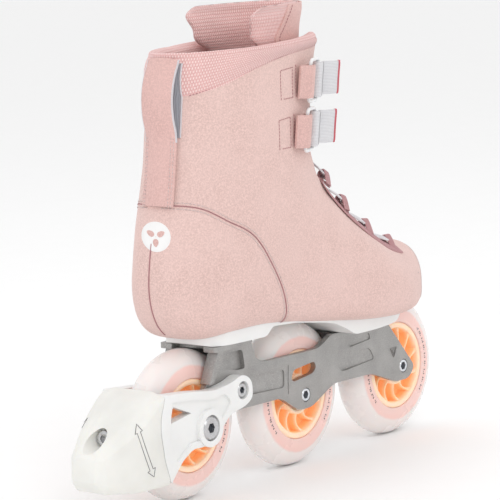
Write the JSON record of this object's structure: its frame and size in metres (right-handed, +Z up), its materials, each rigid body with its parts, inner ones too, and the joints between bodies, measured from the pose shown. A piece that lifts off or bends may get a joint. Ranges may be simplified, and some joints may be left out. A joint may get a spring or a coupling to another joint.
{
  "type": "inline skate",
  "caption": "Soft-boot inline skate for the right foot with a cast frame, urethane wheels in line, webbing straps, laces and a heel brake.",
  "frame": {"origin": "middle of the skate's footprint on the ground, at the centre of its bounding box", "axes": "+X towards the toe, +Y towards the wearer's left (the inner side of this right skate), +Z up"},
  "size_m": [0.3788, 0.096, 0.318],
  "materials": {
    "tyre": "pearly cast urethane",
    "hub": "moulded nylon",
    "steel": "plated steel",
    "cast": "sand cast, lightly blasted",
    "shell": "moulded nylon",
    "pad": "non-marking rubber",
    "suede": "brushed microfibre suede",
    "mesh": "padded knit mesh",
    "webbing": "woven webbing",
    "trim": "textile loops and tabs",
    "foam": "cloth-faced foam"
  },
  "bodies": {
    "boot_and_frame": {"arm_bolt_left": "steel", "arm_bolt_right": "steel", "axle_cap_rear": "steel", "axle_front": "steel", "axle_middle": "steel", "axle_rear": "steel", "boot_liner": "mesh", "boot_upper": "suede", "brake_arm": "shell", "brake_pad": "pad", "deck_bolt_front_left": "steel", "deck_bolt_front_right": "steel", "deck_bolt_rear": "steel", "footbed": "foam", "frame": "cast", "heel_pull": "suede", "lace": "webbing", "lace_loops_left": "trim", "lace_loops_right": "trim", "pad_nut": "steel", "pad_screw": "steel", "sole_base": "shell", "spacer_front": "steel", "spacer_middle": "steel", "spacer_rear": "steel", "strap_anchor_lower": "trim", "strap_anchor_upper": "trim", "strap_band_lower": "webbing", "strap_band_upper": "webbing", "strap_ring_lower": "shell", "strap_ring_upper": "shell", "strap_tab_lower": "trim", "strap_tab_upper": "trim"},
    "wheel_front": {"tyre_front": "tyre", "hub_front": "hub", "bearing_front_left": "steel", "bearing_front_right": "steel"},
    "wheel_middle": {"tyre_middle": "tyre", "hub_middle": "hub", "bearing_middle_left": "steel", "bearing_middle_right": "steel"},
    "wheel_rear": {"tyre_rear": "tyre", "hub_rear": "hub", "bearing_rear_left": "steel", "bearing_rear_right": "steel"},
    "flap_upper": {"strap_flap_upper": "webbing"},
    "flap_lower": {"strap_flap_lower": "webbing"},
    "tongue_leaf": {"tongue": "mesh"}
  },
  "joints": [
    {"name": "wheel_front_spin", "type": "hinge", "parent": "boot_and_frame", "child": "wheel_front", "pos_m": [0.13945, -0.0008, 0.05], "axis": [0, 1, 0], "continuous": true},
    {"name": "wheel_middle_spin", "type": "hinge", "parent": "boot_and_frame", "child": "wheel_middle", "pos_m": [0.02295, -0.0008, 0.05], "axis": [0, 1, 0], "continuous": true},
    {"name": "wheel_rear_spin", "type": "hinge", "parent": "boot_and_frame", "child": "wheel_rear", "pos_m": [-0.09355, -0.0008, 0.05], "axis": [0, 1, 0], "continuous": true},
    {"name": "flap_upper_peel", "type": "hinge", "parent": "boot_and_frame", "child": "flap_upper", "pos_m": [0.03007, -0.03809, 0.26555], "axis": [-0.0339, 0.0996, -0.9944], "range_deg": [-5, 115]},
    {"name": "flap_lower_peel", "type": "hinge", "parent": "boot_and_frame", "child": "flap_lower", "pos_m": [0.02437, -0.03803, 0.23305], "axis": [-0.0344, 0.0995, -0.9944], "range_deg": [-5, 115]},
    {"name": "tongue_tilt", "type": "hinge", "parent": "boot_and_frame", "child": "tongue_leaf", "pos_m": [0.12695, -0.0008, 0.13], "axis": [0, -1, 0], "range_deg": [0, 3]}
  ]
}
